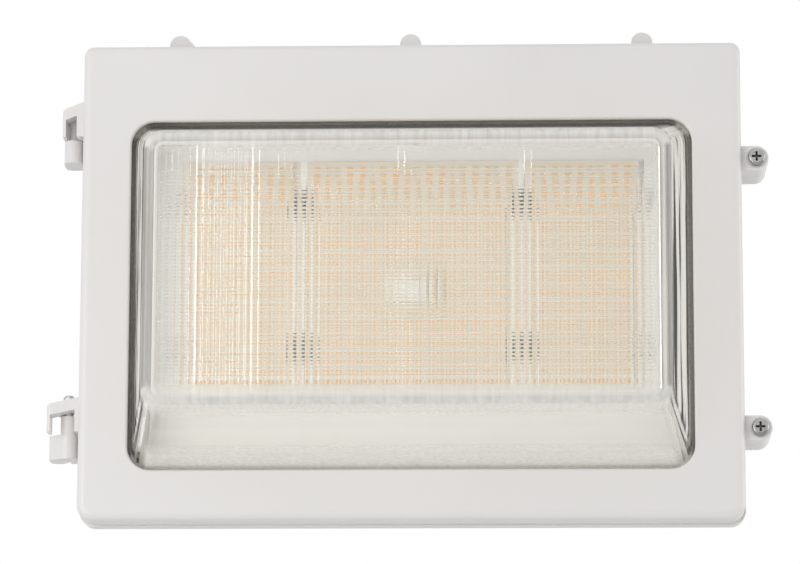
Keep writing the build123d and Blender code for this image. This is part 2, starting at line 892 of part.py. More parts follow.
plate_screws = small_screws(front_plane(plate_front), plate_screw_places, plate_sheet + small_screw_bite)
plate_screws.part.label = "plate_screws"
export_step(plate_screws.part, "parts/plate_screws.step")

with BuildPart() as led_board_centre:
    with BuildSketch(front_plane(plate_front)):
        with Locations((0, board_rise)):
            Rectangle(centre_board_width, board_height)
        with Locations((0, cover_z)):
            Circle(lead_hole_radius, mode=Mode.SUBTRACT)
    extrude(amount=board_thickness)
led_board_centre.part.label = "led_board_centre"
export_step(led_board_centre.part, "parts/led_board_centre.step")

with BuildPart() as led_board_left:
    with BuildSketch(front_plane(plate_front)):
        with Locations((-side_board_x, board_rise)):
            Rectangle(side_board_width, board_height)
    extrude(amount=board_thickness)
led_board_left.part.label = "led_board_left"
export_step(led_board_left.part, "parts/led_board_left.step")

with BuildPart() as led_board_right:
    with BuildSketch(front_plane(plate_front)):
        with Locations((side_board_x, board_rise)):
            Rectangle(side_board_width, board_height)
    extrude(amount=board_thickness)
led_board_right.part.label = "led_board_right"
export_step(led_board_right.part, "parts/led_board_right.step")

with BuildPart() as leds_centre:
    with BuildSketch(front_plane(board_front)):
        with Locations((0, board_rise)):
            with Locations(*centre_led_places):
                Rectangle(led_width, led_height)
    extrude(amount=led_thickness)
leds_centre.part.label = "leds_centre"
export_step(leds_centre.part, "parts/leds_centre.step")

with BuildPart() as leds_left:
    with BuildSketch(front_plane(board_front)):
        with Locations((-side_board_x, board_rise)):
            with Locations(*side_led_places):
                Rectangle(led_width, led_height)
    extrude(amount=led_thickness)
leds_left.part.label = "leds_left"
export_step(leds_left.part, "parts/leds_left.step")

with BuildPart() as leds_right:
    with BuildSketch(front_plane(board_front)):
        with Locations((side_board_x, board_rise)):
            with Locations(*side_led_places):
                Rectangle(led_width, led_height)
    extrude(amount=led_thickness)
leds_right.part.label = "leds_right"
export_step(leds_right.part, "parts/leds_right.step")

board_screws = small_screws(front_plane(board_front), board_screw_places, board_thickness + plate_sheet)
board_screws.part.label = "board_screws"
export_step(board_screws.part, "parts/board_screws.step")

with BuildPart() as wire_cover:
    with BuildSketch(front_plane(board_front)):
        with Locations((0, cover_z)):
            RectangleRounded(cover_width, cover_height, cover_corner)
    extrude(amount=cover_depth)
    cover_rim = wire_cover.faces().sort_by(Axis.Y)[0].edges()
    fillet(cover_rim, cover_wall / 2)
    with BuildSketch(front_plane(board_front)):
        with Locations((0, cover_z)):
            RectangleRounded(
                cover_width - 2 * cover_wall, cover_height - 2 * cover_wall, cover_corner - cover_wall
            )
    extrude(amount=cover_depth - cover_wall, mode=Mode.SUBTRACT)
wire_cover.part.label = "wire_cover"
export_step(wire_cover.part, "parts/wire_cover.step")

# ---------------------------------------------------------------- driver and wiring
with BuildPart() as led_driver:
    with BuildSketch(front_plane(driver_back)):
        with Locations((0, driver_z)):
            RectangleRounded(driver_width, driver_height, driver_corner)
    extrude(amount=driver_depth)
    fillet(led_driver.faces().sort_by(Axis.Y)[0].edges(), driver_corner / 2)
    with BuildSketch(front_plane(driver_back)):
        with Locations((0, driver_z)):
            RectangleRounded(driver_width + 2 * driver_ear, driver_ear_height, driver_corner)
    extrude(amount=driver_ear_sheet)
    with BuildSketch(front_plane(driver_back)):
        with Locations(*driver_screw_places):
            Circle(small_hole_radius)
    extrude(amount=driver_ear_sheet, mode=Mode.SUBTRACT)
    supply_side = Plane((driver_width / 2, -supply_lead_station, driver_z), x_dir=(0, 1, 0), z_dir=(1, 0, 0))
    with BuildSketch(supply_side):
        with Locations(*[(0, offset) for offset in supply_lead_offsets]):
            Circle(supply_lead_radius + lead_hole_gap)
    extrude(amount=-lead_entry, mode=Mode.SUBTRACT)
    with BuildSketch(Plane(origin=(-driver_width / 2, -led_lead_station, driver_z), z_dir=(-1, 0, 0))):
        Circle(led_lead_radius + lead_hole_gap)
    extrude(amount=-lead_entry, mode=Mode.SUBTRACT)
led_driver.part.label = "led_driver"
export_step(led_driver.part, "parts/led_driver.step")

driver_screws = small_screws(
    front_plane(driver_back + driver_ear_sheet), driver_screw_places, driver_ear_sheet + small_screw_bite
)
driver_screws.part.label = "driver_screws"
export_step(driver_screws.part, "parts/driver_screws.step")

with BuildPart() as terminal_block:
    with BuildSketch(front_plane(block_back)):
        with Locations((block_x, block_z)):
            Rectangle(block_width, block_height)
        with Locations(*block_screw_places):
            Circle(small_hole_radius, mode=Mode.SUBTRACT)
    extrude(amount=block_depth)
    with BuildSketch(front_plane(block_front)):
        for offset in supply_lead_offsets:
            with Locations((block_x + offset, block_z)):
                Circle(block_well)
    extrude(amount=-block_well_depth, mode=Mode.SUBTRACT)
    block_underside = Plane((block_x, -supply_lead_station, block_bottom), x_dir=(1, 0, 0), z_dir=(0, 0, -1))
    with BuildSketch(block_underside):
        with Locations(*[(offset, 0) for offset in supply_lead_offsets]):
            Circle(supply_lead_radius + lead_hole_gap)
    extrude(amount=-lead_entry, mode=Mode.SUBTRACT)
terminal_block.part.label = "terminal_block"
export_step(terminal_block.part, "parts/terminal_block.step")

terminal_screws = small_screws(front_plane(block_front), block_screw_places, block_depth + small_screw_bite)
terminal_screws.part.label = "terminal_screws"
export_step(terminal_screws.part, "parts/terminal_screws.step")

with BuildPart() as supply_leads:
    for offset in supply_lead_offsets:
        with BuildLine() as supply_path:
            FilletPolyline(
                (block_x + offset, -supply_lead_station, block_bottom + lead_entry),
                (block_x + offset, -supply_lead_station, driver_z - offset),
                (driver_width / 2 - lead_entry, -supply_lead_station, driver_z - offset),
                radius=supply_lead_bend,
            )
        with BuildSketch(Plane(origin=supply_path.wire() @ 0, z_dir=supply_path.wire() % 0)):
            Circle(supply_lead_radius)
        sweep(path=supply_path.wire())
supply_leads.part.label = "supply_leads"
export_step(supply_leads.part, "parts/supply_leads.step")

with BuildPart() as led_lead:
    lead_turn_x = -driver_width / 2 - led_lead_side
    with BuildLine() as led_path:
        FilletPolyline(
            (lead_entry - driver_width / 2, -led_lead_station, driver_z),
            (lead_turn_x, -led_lead_station, driver_z),
            (lead_turn_x, -led_lead_station, cover_z),
            (lead_turn_x, -led_lead_run_station, cover_z),
            (0, -led_lead_run_station, cover_z),
            (0, -board_front, cover_z),
            radius=led_lead_bend,
        )
    with BuildSketch(Plane(origin=led_path.wire() @ 0, z_dir=led_path.wire() % 0)):
        Circle(led_lead_radius)
    sweep(path=led_path.wire())
led_lead.part.label = "led_lead"
export_step(led_lead.part, "parts/led_lead.step")

ground_screw = small_screws(front_plane(ground_front), [(ground_x, ground_z)], small_screw_bite)
ground_screw.part.label = "ground_screw"
export_step(ground_screw.part, "parts/ground_screw.step")

# ---------------------------------------------------------------- closing plugs of the side entries
with BuildPart() as conduit_plugs:
    for side in (-1, 1):
        head_seat = side_plane(side, side_hub_out + plug_seal_thickness)
        with BuildSketch(head_seat):
            Circle(entry_radius - plug_fit)
        extrude(amount=-(plug_length + plug_seal_thickness))
        with BuildSketch(head_seat):
            Circle(plug_head_radius)
        extrude(amount=plug_head_thickness)
        with BuildSketch(head_seat.offset(plug_head_thickness)):
            Rectangle(2 * plug_head_radius, plug_slot_width)
        extrude(amount=-plug_slot_depth, mode=Mode.SUBTRACT)
conduit_plugs.part.label = "conduit_plugs"
export_step(conduit_plugs.part, "parts/conduit_plugs.step")

with BuildPart() as plug_seals:
    for side in (-1, 1):
        with BuildSketch(side_plane(side, side_hub_out)):
            Circle(plug_seal_radius)
            Circle(entry_radius, mode=Mode.SUBTRACT)
        extrude(amount=plug_seal_thickness)
plug_seals.part.label = "plug_seals"
export_step(plug_seals.part, "parts/plug_seals.step")
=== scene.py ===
import math

import bpy
import numpy as np
from mathutils import Matrix, Vector


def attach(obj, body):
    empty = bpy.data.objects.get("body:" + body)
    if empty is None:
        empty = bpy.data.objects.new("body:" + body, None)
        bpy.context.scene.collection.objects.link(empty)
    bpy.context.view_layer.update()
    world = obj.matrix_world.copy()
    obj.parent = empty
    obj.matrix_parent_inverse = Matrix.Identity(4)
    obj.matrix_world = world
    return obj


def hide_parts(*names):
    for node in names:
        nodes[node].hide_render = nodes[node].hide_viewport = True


MM = 0.001
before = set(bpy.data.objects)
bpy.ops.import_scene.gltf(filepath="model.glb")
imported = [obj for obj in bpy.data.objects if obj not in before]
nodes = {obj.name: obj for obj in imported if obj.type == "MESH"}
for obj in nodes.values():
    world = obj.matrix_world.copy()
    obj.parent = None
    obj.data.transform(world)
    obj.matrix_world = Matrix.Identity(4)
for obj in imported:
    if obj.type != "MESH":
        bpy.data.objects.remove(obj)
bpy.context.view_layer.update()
scene = bpy.context.scene

# Places on the part, in millimetres. A station is a distance in front of the wall.
DOOR_FRONT = 120.4
BOARD_FRONT = 96.6

# ------------------------------------------------------------------ camera
TARGET = Vector((-5.25, -DOOR_FRONT, -1.9)) * MM
CAMERA_DISTANCE = 2.0
CAMERA_AZIMUTH = math.radians(2.3)
CAMERA_ELEVATION = math.radians(-11.0)
CAMERA_ROLL = math.radians(0.15)
CAMERA_LENS = 180.0
CAMERA_SENSOR = 36.0
CAMERA_CLIP_END = 20.0


def add_camera():
    level = math.cos(CAMERA_ELEVATION)
    offset = Vector((
        math.sin(CAMERA_AZIMUTH) * level,
        -math.cos(CAMERA_AZIMUTH) * level,
        math.sin(CAMERA_ELEVATION),
    ))
    ahead = -offset
    right = ahead.cross(Vector((0, 0, 1))).normalized()
    up = right.cross(ahead)
    rolled_right = right * math.cos(CAMERA_ROLL) + up * math.sin(CAMERA_ROLL)
    rolled_up = up * math.cos(CAMERA_ROLL) - right * math.sin(CAMERA_ROLL)
    data = bpy.data.cameras.new("camera")
    data.sensor_width = CAMERA_SENSOR
    data.lens = CAMERA_LENS
    data.clip_end = CAMERA_CLIP_END
    camera = bpy.data.objects.new("camera", data)
    rotation = Matrix((rolled_right, rolled_up, -ahead)).transposed().to_4x4()
    camera.matrix_world = Matrix.Translation(TARGET + offset * CAMERA_DISTANCE) @ rotation
    scene.collection.objects.link(camera)
    scene.camera = camera


# ------------------------------------------------------------------ light
LAMP_AIM = Vector((0.0, -0.12, 0.0))
# name, place in metres, width and height in metres, watts
LAMPS = (
    ("key_left", (-1.15, -1.65, -0.3), (1.2, 1.4), 13.1),
    ("fill_right", (2.1, -0.05, 0.0), (1.0, 1.6), 11.0),
    ("top", (0.0, -1.1, 1.6), (1.8, 1.0), 2.8),
    ("strip_left", (-0.235, -1.92, 0.4), (0.01, 0.8), 0.3),
)
ROOM_STRENGTH = 0.6
WHITE_STRENGTH = 1.0


def add_lamps():
    for name, place, size, power in LAMPS:
        data = bpy.data.lights.new(name, "AREA")
        data.shape = "RECTANGLE"
        data.size, data.size_y = size
        data.energy = power
        lamp = bpy.data.objects.new(name, data)
        lamp.location = place
        lamp.rotation_euler = (LAMP_AIM - Vector(place)).to_track_quat("-Z", "Y").to_euler()
        scene.collection.objects.link(lamp)


def add_world():
    """A plain room that is white to the camera, in reflections and through the glass."""
    world = bpy.data.worlds.new("studio")
    world.use_nodes = True
    scene.world = world
    tree = world.node_tree
    tree.nodes.clear()

    def background(strength):
        made = tree.nodes.new("ShaderNodeBackground")
        made.inputs["Color"].default_value = (1.0, 1.0, 1.0, 1.0)
        made.inputs["Strength"].default_value = strength
        return made.outputs["Background"]

    path = tree.nodes.new("ShaderNodeLightPath")
    seen = path.outputs["Is Camera Ray"]
    for kind in ("Is Glossy Ray", "Is Transmission Ray"):
        either = tree.nodes.new("ShaderNodeMath")
        either.operation = "MAXIMUM"
        tree.links.new(seen, either.inputs[0])
        tree.links.new(path.outputs[kind], either.inputs[1])
        seen = either.outputs[0]
    mix = tree.nodes.new("ShaderNodeMixShader")
    output = tree.nodes.new("ShaderNodeOutputWorld")
    tree.links.new(seen, mix.inputs[0])
    tree.links.new(background(ROOM_STRENGTH), mix.inputs[1])
    tree.links.new(background(WHITE_STRENGTH), mix.inputs[2])
    tree.links.new(mix.outputs[0], output.inputs["Surface"])


# ------------------------------------------------------------------ material helpers
class Shader:
    """A node material being built around one Principled BSDF."""

    def __init__(self, name):
        self.material = bpy.data.materials.new(name)
        self.material.use_nodes = True
        self.tree = self.material.node_tree
        self.bsdf = self.tree.nodes["Principled BSDF"]
        self.surface = self.tree.nodes["Material Output"].inputs["Surface"]
        self.place = None

    def node(self, kind, **values):
        """A node with some of its sockets or settings given."""
        made = self.tree.nodes.new("ShaderNode" + kind)
        for key, value in values.items():
            if key in made.inputs:
                made.inputs[key].default_value = value
            else:
                setattr(made, key, value)
        return made

    def link(self, source, target):
        self.tree.links.new(source, target)

    def feed(self, source, target):
        """Sets a socket to a number, or links it to another socket."""
        if isinstance(source, (int, float)):
            target.default_value = source
        else:
            self.link(source, target)

    def set(self, **values):
        for key, value in values.items():
            self.bsdf.inputs[key.replace("_", " ")].default_value = value

    def colour(self, source):
        self.link(source, self.bsdf.inputs["Base Color"])

    def roughness(self, source):
        self.link(source, self.bsdf.inputs["Roughness"])

    def coordinates(self):
        """Object coordinates in metres; every piece has its origin at the part's origin."""
        if self.place is None:
            self.place = self.node("TexCoord").outputs["Object"]
        return self.place

    def attribute(self, name):
        return self.node("Attribute", attribute_name=name).outputs["Fac"]

    def noise(self, scale, detail=3.0, stretch=None):
        made = self.node("TexNoise", Scale=scale, Detail=detail)
        source = self.coordinates()
        if stretch:
            mapping = self.node("Mapping", Scale=stretch)
            self.link(source, mapping.inputs["Vector"])
            source = mapping.outputs["Vector"]
        self.link(source, made.inputs["Vector"])
        return made.outputs["Fac"]

    def ramp(self, factor, stops):
        made = self.node("ValToRGB")
        for element, (position, colour) in zip(made.color_ramp.elements, stops):
            element.position = position
            element.color = (*colour, 1.0)
        self.link(factor, made.inputs["Fac"])
        return made.outputs["Color"]

    def mottle(self, factor, first, second):
        """A colour that wanders between two with a noise."""
        return self.ramp(factor, [(0.3, first), (0.7, second)])

    def spread(self, factor, low, high):
        """Turns 0 to 1 into low to high."""
        made = self.node("MapRange")
        made.inputs["To Min"].default_value = low
        made.inputs["To Max"].default_value = high
        self.link(factor, made.inputs["Value"])
        return made.outputs["Result"]

    def between(self, factor, start, end):
        """0 at start and before it, 1 at end and beyond it."""
        made = self.node("MapRange")
        made.inputs["From Min"].default_value = start
        made.inputs["From Max"].default_value = end
        self.link(factor, made.inputs["Value"])
        return made.outputs["Result"]

    def combine(self, operation, first, second=0.0):
        """A math node, kept within 0 to 1."""
        made = self.node("Math", operation=operation, use_clamp=True)
        self.feed(first, made.inputs[0])
        self.feed(second, made.inputs[1])
        return made.outputs[0]

    def blend_colours(self, factor, first, second, blend_type="MIX"):
        made = self.node("MixRGB", blend_type=blend_type)
        self.feed(factor, made.inputs[0])
        self.link(first, made.inputs[1])
        self.link(second, made.inputs[2])
        return made.outputs[0]

    def closure(self, kind, colour, **values):
        """The output of a plain surface node of one colour."""
        return self.node(kind, Color=(*colour, 1.0), **values).outputs[0]

    def mix(self, factor, first, second):
        made = self.node("MixShader")
        self.feed(factor, made.inputs[0])
        self.link(first, made.inputs[1])
        self.link(second, made.inputs[2])
        return made.outputs[0]

    def bump(self, height, strength, distance, normal=None):
        made = self.node("Bump", Strength=strength, Distance=distance)
        self.link(height, made.inputs["Height"])
        if normal is not None:
            self.link(normal, made.inputs["Normal"])
        self.link(made.outputs["Normal"], self.bsdf.inputs["Normal"])
        return made.outputs["Normal"]


def darker(colour, share):
    return tuple(c * share for c in colour)


# ------------------------------------------------------------------ materials
def powder_coat(name, colour, shade):
    """Satin powder coat: fine orange peel, faint tone changes from the casting below."""
    s = Shader(name)
    s.colour(s.mottle(s.noise(scale=14.0, detail=4.0), shade, colour))
    s.roughness(s.spread(s.noise(scale=90.0, detail=2.0), 0.3, 0.42))
    s.set(Coat_Weight=0.12, Coat_Roughness=0.25, IOR=1.5)
    peel = s.bump(s.noise(scale=700.0, detail=2.0), strength=0.25, distance=0.00012)
    s.bump(s.noise(scale=160.0, detail=2.0), strength=0.12, distance=0.0003, normal=peel)
    return s.material


def metal(name, colour, smoothest, roughest, grain=(1.0, 1.0, 1.0), painted_shade_reach=None):
    """Plated or polished metal; given a reach, it gets painted shade: its colour darkens in its corners and
    recesses.
    """
    s = Shader(name)
    tone = s.mottle(s.noise(scale=180.0, detail=4.0, stretch=grain), darker(colour, 0.82), colour)
    if painted_shade_reach:
        # painted shade: the colour is darkened where the surface is sheltered, as in a screw's cross recess
        occlusion = s.node("AmbientOcclusion", Distance=painted_shade_reach).outputs["AO"]
        shade = s.ramp(occlusion, [(0.45, (0.06, 0.06, 0.06)), (0.9, (1.0, 1.0, 1.0))])
        tone = s.blend_colours(1.0, tone, shade, "MULTIPLY")
    s.colour(tone)
    s.roughness(s.spread(s.noise(scale=600.0, stretch=grain), smoothest, roughest))
    s.set(Metallic=1.0)
    s.bump(s.noise(scale=1200.0, detail=2.0, stretch=grain), strength=0.12, distance=0.00005)
    return s.material


def plastic(name, colour, rough=0.4, variation=0.06, bump_scale=900.0):
    s = Shader(name)
    s.colour(s.mottle(s.noise(scale=60.0), darker(colour, 1.0 - variation), colour))
    s.roughness(s.spread(s.noise(scale=220.0, detail=2.0), rough - 0.06, rough + 0.06))
    s.bump(s.noise(bump_scale, detail=2.0), strength=0.15, distance=0.00008)
    return s.material


OUTER_SCREWS_FROM = 0.09


def board_screw_metal():
    """Black screws between the boards; those farther out than that are coated white with the plate."""
    s = Shader("board_screw_metal")
    black = s.mottle(s.noise(scale=200.0, detail=4.0), (0.07, 0.07, 0.075), (0.12, 0.12, 0.125))
    white = s.mottle(s.noise(scale=60.0), (0.78, 0.77, 0.73), (0.82, 0.81, 0.77))
    split = s.node("SeparateXYZ")
    s.link(s.coordinates(), split.inputs[0])
    outer = s.combine("GREATER_THAN", s.combine("ABSOLUTE", split.outputs["X"]), OUTER_SCREWS_FROM)
    s.colour(s.blend_colours(outer, black, white))
    s.roughness(s.spread(s.noise(scale=500.0), 0.3, 0.45))
    s.bump(s.noise(scale=900.0, detail=2.0), strength=0.12, distance=0.00005)
    return s.material


GROOVE_HAZE = 0.3
GROOVE_SHARPNESS = 3.0
SOFT_SHARE = 0.12


def glass_material():
    """Clear pressed glass: hazed edges and grooves, painted reflection streaks in its side walls, a painted dark
    rim at the seal.

    The rim and the streaks are painted reflections of what the walls mirror along their length, so they show at a
    grazing look only; seal_shade is painted shade in the thin ring right at the seal, which always shows.
    """
    s = Shader("pressed_glass")
    s.tree.nodes.remove(s.bsdf)
    glass = s.closure("BsdfGlass", (0.995, 0.992, 0.985), Roughness=0.0, IOR=1.5)
    satin = s.closure("BsdfDiffuse", (0.86, 0.85, 0.81))
    glow = s.closure("BsdfTranslucent", (0.85, 0.84, 0.82))
    # painted dark: a dark diffuse that stands for the shade and dark reflections at the seal and in the walls
    painted_dark = s.closure("BsdfDiffuse", (0.075, 0.075, 0.07))
    clear = s.closure("BsdfTransparent", (0.985, 0.98, 0.968))

    ripple = s.noise(scale=420.0, detail=2.0, stretch=(1.0, 1.0, 0.06))
    edges = s.combine("MULTIPLY", s.attribute("edge_haze"), s.spread(ripple, 0.75, 1.25))
    grooves = s.combine("MULTIPLY", s.combine("POWER", s.attribute("groove"), GROOVE_SHARPNESS), GROOVE_HAZE)
    grazing = s.between(s.node("LayerWeight", Blend=0.5).outputs["Facing"], 0.65, 0.82)
    wall = s.combine("MULTIPLY", s.attribute("streak"), grazing)
    # painted reflections: light and dark streaks along the side walls, shown at a grazing look
    streaks = s.noise(scale=1.0, stretch=(30.0, 75.0, 7.0))
    painted_highlight_streaks = s.combine("MULTIPLY", wall, s.between(streaks, 0.5, 0.56))
    painted_dark_streaks = s.combine("MULTIPLY", wall, s.between(streaks, 0.49, 0.43))
    # painted dark reflection on the walls near the seal, shown at a grazing look
    rim = s.combine("MULTIPLY", s.attribute("rim_shade"), grazing)

    hazed = s.combine("MAXIMUM", s.combine("MAXIMUM", edges, grooves), painted_highlight_streaks)
    # painted shade and painted dark reflection, mixed in as the dark diffuse
    shaded = s.combine("MAXIMUM", s.combine("MAXIMUM", rim, s.attribute("seal_shade")), painted_dark_streaks)
    surface = s.mix(shaded, s.mix(hazed, glass, s.mix(SOFT_SHARE, satin, glow)), painted_dark)
    path = s.node("LightPath")
    lets_light_by = s.combine("MAXIMUM", path.outputs["Is Shadow Ray"], path.outputs["Is Diffuse Ray"])
    s.link(s.mix(lets_light_by, surface, clear), s.surface)
    return s.material


# ------------------------------------------------------------------ mesh helpers
def add_piece(name, vertices, faces, material, smooth=True, flat_faces=()):
    """A mesh object from points in millimetres: x, station, z."""
    data = bpy.data.meshes.new(name)
    points = np.asarray(vertices, float)
    world = np.column_stack((points[:, 0], -points[:, 1], points[:, 2])) * MM
    data.from_pydata(world.tolist(), [], faces)
    data.validate()
    flags = np.full(len(data.polygons), smooth)
    if len(flat_faces):
        flags[np.asarray(flat_faces)] = False
    data.polygons.foreach_set("use_smooth", flags)
    data.materials.append(material)
    data.update()
    piece = bpy.data.objects.new(name, data)
    scene.collection.objects.link(piece)
    return piece


def blend(a, b, t):
    return a + (b - a) * t


def bridge(front, back):
    """Quads between two closed loops of equally many point numbers."""
    count = len(front)
    return [(front[k], back[k], back[(k + 1) % count], front[(k + 1) % count]) for k in range(count)]


def stitch(loop_a, loop_b, points):
    """Triangles between two closed loops of point numbers that run the same way round."""
    def shares(loop):
        closed = points[loop + loop[:1]]
        steps = np.linalg.norm(np.diff(closed, axis=0), axis=1)
        return np.append(np.concatenate(([0.0], np.cumsum(steps))) / steps.sum(), math.inf)
    share_a, share_b = shares(loop_a), shares(loop_b)
    faces = []
    i = j = 0
    while i < len(loop_a) or j < len(loop_b):
        a, b = loop_a[i % len(loop_a)], loop_b[j % len(loop_b)]
        if share_a[i + 1] <= share_b[j + 1]:
            i += 1
            faces.append((a, loop_a[i % len(loop_a)], b))
        else:
            j += 1
            faces.append((a, loop_b[j % len(loop_b)], b))
    return faces


class Shell:
    """Points on stacked rounded rectangles that end in a gridded face, as on a pressed glass."""

    def __init__(self, straight, rows, arc):
        self.arc = arc
        self.straight = straight
        self.columns = straight + 2 * arc
        self.rows = rows
        angles = np.linspace(0.0, math.pi / 2, arc + 1)
        self.arc_in = 1.0 - np.cos(angles)
        self.arc_up = 1.0 - np.sin(angles)
        self.middle = np.linspace(-1.0, 1.0, straight + 1)
        self.level = np.linspace(0.0, 1.0, rows + 1)
        outline = [(i, 0) for i in range(self.columns)]
        outline += [(self.columns, j) for j in range(rows)]
        outline += [(i, rows) for i in range(self.columns, 0, -1)]
        outline += [(0, j) for j in range(rows, 0, -1)]
        # column and row numbers of the grid's outer points, counter-clockwise from the lower left
        self.outline = tuple(np.array(outline).T)

    def section(self, half, low, high, radius):
        """x and z of every grid point on one rounded rectangle."""
        left = -half + radius * self.arc_in
        x = np.concatenate((left[:-1], self.middle * (half - radius), -left[::-1][1:]))
        rise = radius * np.concatenate((self.arc_up[:-1], np.zeros(len(self.middle)), self.arc_up[::-1][1:]))
        bottom = low + rise
        top = high - rise
        z = bottom[:, None] + (top - bottom)[:, None] * self.level[None, :]
        return np.repeat(x[:, None], self.rows + 1, 1), z

    def ring(self, section, station, lift=0.0):
        """The outer points alone, on one rounded rectangle at a station."""
        x, z = (grid[self.outline] for grid in self.section(*section))
        return np.column_stack((x, np.full(len(x), station), z + lift))

    def skin(self, rings, relief, lift=0.0):
        """Points, faces and last loop: the gridded face, then rings from front to back.

        A ring is a station, an inset and a wall. The relief moves the face's points along the
        station, and the lift moves the rings' points along z.
        """
        x, z = self.section(*side_at(*rings[0]))
        face_station = rings[0][0] + relief
        blocks = [np.column_stack((x.ravel(), face_station.ravel(), z.ravel()))]
        across = self.rows + 1
        faces = [
            (i * across + j, (i + 1) * across + j, (i + 1) * across + j + 1, i * across + j + 1)
            for i in range(self.columns)
            for j in range(self.rows)
        ]
        loop = (self.outline[0] * across + self.outline[1]).tolist()
        start = x.size
        for ring in rings[1:]:
            blocks.append(self.ring(side_at(*ring), ring[0], lift))
            following = list(range(start, start + len(loop)))
            faces += bridge(loop, following)
            loop = following
            start += len(loop)
        return np.vstack(blocks), faces, loop


# ------------------------------------------------------------------ glass
# rounded rectangles of the outside, where it leaves the door's window and at its front
GLASS_ROOT = dict(half=140.0, low=-95.1, high=80.3, radius=10.8, station=115.2)
GLASS_FACE = dict(half=128.0, low=-73.0, high=62.0, radius=9.0, station=182.4)
ROOT = GLASS_ROOT["station"]
FRONT = GLASS_FACE["station"]
GLASS_WALL = 4.5
LEAST_CORNER = 1.0
EDGE_RADIUS = 2.4
EDGE_RINGS = 8
EDGE_END = math.radians(14.0)
WALL_RINGS = 6
SEAL_RING = 0.8
INNER_FILLET = 2.5
FILLET_RINGS = 7
BELOW_FILLET = 2.0
FLANGE_REACH = 9.0
FLANGE_BACK = 110.2
FLANGE_BEVEL = 0.6

# flutes outside; the ones on the bottom wall are deeper
FLUTE_PITCH = 3.2
FLUTE_STEPS = 8
FLUTE_HEIGHT = 0.01
LOW_FLUTES = 5.0
OUTER_ROWS = 24
OUTER_ARC = 6

# flutes and prisms inside; the flutes grow shallower towards the top
INNER_FLUTE_STEPS = 6
INNER_FLUTE_HEIGHT = 0.15
INNER_ARC = 4
UPPER_FLUTE_SHARE = 0.35
UPPER_ROWS_END = 0.88
UPPER_ROWS_FADE = 0.18
PRISM_PITCH = 1.8
PRISM_STEPS = 4
PRISM_HEIGHT = 0.07
PLAIN_TOP = 12.0
PLAIN_BOTTOM = 7.0

# haze along the front edge, and painted shade and dark reflection where the walls leave the seal
EDGE_HAZE = 0.45
EDGE_HAZE_LOW = 0.85
EDGE_HAZE_HIGH = 0.9
EDGE_BAND = 8.0
BORDER_REACH = 2.0
BORDER_FADE = 2.5
BORDER_DEPTH = 0.5
RIM_TOP = 0.7
RIM_SIDE = 0.72
RIM_LOW = 0.8
RIM_REACH = 9.0
RIM_REACH_LEFT = 14.0
RIM_REACH_LOW = 18.0
RIM_FADE = 3.0
RIM_FADE_LOW = 6.0
WALL_MARGIN = 1.0
# strength of the painted reflection streaks in the side walls
PAINTED_STREAKS = 0.95


def side_at(station, inset, wall):
    """Rounded rectangle of the glass at a station, drawn in by inset."""
    t = (station - ROOT) / (FRONT - wall - ROOT)
    half = blend(GLASS_ROOT["half"], GLASS_FACE["half"], t) - wall - inset
    low = blend(GLASS_ROOT["low"], GLASS_FACE["low"], t) + wall + inset
    high = blend(GLASS_ROOT["high"], GLASS_FACE["high"], t) - wall - inset
    radius = max(blend(GLASS_ROOT["radius"], GLASS_FACE["radius"], t) - wall - inset, LEAST_CORNER)
    return half, low, high, radius


def outer_skin(flute_count):
    """Outside of the glass: face, rounded edge, walls and flange."""
    shell = Shell(flute_count * FLUTE_STEPS, OUTER_ROWS, OUTER_ARC)
    step = np.arange(shell.columns + 1) - shell.arc
    fluted = (step >= 0) & (step <= shell.straight)
    flutes = np.where(fluted, -FLUTE_HEIGHT * (0.5 - 0.5 * np.cos(2 * math.pi * step / FLUTE_STEPS)), 0.0)
    columns, rows = shell.outline
    lift = np.select([rows == 0, rows == shell.rows], [-LOW_FLUTES * flutes[columns], flutes[columns]], 0.0)
    rings = [
        (FRONT - EDGE_RADIUS * (1 - math.sin(angle)), EDGE_RADIUS * (math.cos(EDGE_END) - math.cos(angle)), 0.0)
        for angle in np.linspace(math.pi / 2, EDGE_END, EDGE_RINGS)
    ]
    rings += [(station, 0.0, 0.0) for station in np.linspace(rings[-1][0], ROOT + SEAL_RING, WALL_RINGS)[1:]]
    rings.append((ROOT, 0.0, 0.0))
    relief = np.repeat(flutes[:, None], shell.rows + 1, 1)
    points, faces, loop = shell.skin(rings, relief, lift)
    for reach, station in (
        (FLANGE_REACH - FLANGE_BEVEL, ROOT),
        (FLANGE_REACH, ROOT - FLANGE_BEVEL),
        (FLANGE_REACH, FLANGE_BACK + FLANGE_BEVEL),
        (FLANGE_REACH - FLANGE_BEVEL, FLANGE_BACK),
    ):
        section = (
            GLASS_ROOT["half"] + reach, GLASS_ROOT["low"] - reach, GLASS_ROOT["high"] + reach,
            GLASS_ROOT["radius"] + reach,
        )
        following = list(range(len(points), len(points) + len(loop)))
        points = np.vstack((points, shell.ring(section, station)))
        faces += bridge(loop, following)
        loop = following
    return points, faces, loop


